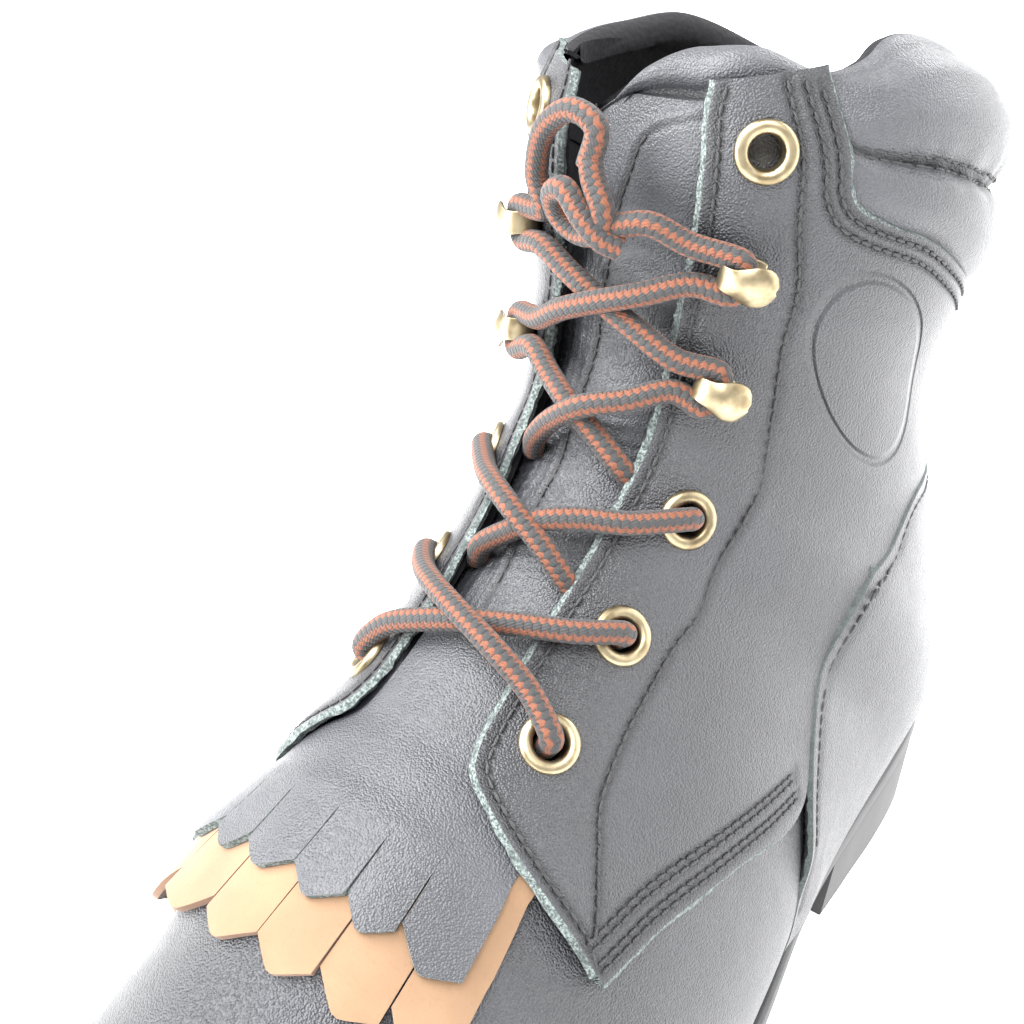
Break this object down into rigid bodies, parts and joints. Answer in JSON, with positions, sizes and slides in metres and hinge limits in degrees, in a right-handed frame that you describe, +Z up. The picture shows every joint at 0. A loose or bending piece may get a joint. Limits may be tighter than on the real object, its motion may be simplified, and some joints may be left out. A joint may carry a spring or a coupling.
{
  "type": "lace-up work boot",
  "caption": "Black leather lace-up ankle boot with a fringed tongue flap, eyelets, speed hooks, padded collar and a low heel; left foot.",
  "frame": {"origin": "middle of the box round the boot without its free lace, on the floor", "axes": "+Z up, toe towards -Y, heel towards +Y, lateral side towards +X"},
  "size_m": [0.1032, 0.2936, 0.2114],
  "materials": {
    "black_leather": "semi-gloss, fine grain",
    "tan_nubuck": "matt nubuck",
    "black_rubber": "matt",
    "insole_board": "matt",
    "antique_brass": "satin, aged",
    "lace_cord": "braided"
  },
  "bodies": {
    "root": {"welt": "black_leather", "outsole": "black_rubber", "heel": "black_rubber", "insole": "insole_board", "upper": "black_leather", "tongue": "black_leather", "quarter_lateral": "black_leather", "quarter_medial": "black_leather", "counter": "black_leather", "collar_pad": "black_leather", "kiltie_black": "black_leather", "kiltie_tan": "tan_nubuck", "eyelet_1_lateral": "antique_brass", "eyelet_1_medial": "antique_brass", "eyelet_2_lateral": "antique_brass", "eyelet_2_medial": "antique_brass", "eyelet_3_lateral": "antique_brass", "eyelet_3_medial": "antique_brass", "eyelet_4_lateral": "antique_brass", "eyelet_4_medial": "antique_brass", "hook_1_lateral": "antique_brass", "hook_1_medial": "antique_brass", "hook_2_lateral": "antique_brass", "hook_2_medial": "antique_brass", "lace_cross_1": "lace_cord", "lace_cross_2": "lace_cord", "lace_cross_3": "lace_cord", "lace_cross_4": "lace_cord", "lace_end_lateral": "lace_cord", "lace_loop": "lace_cord"}
  },
  "joints": []
}
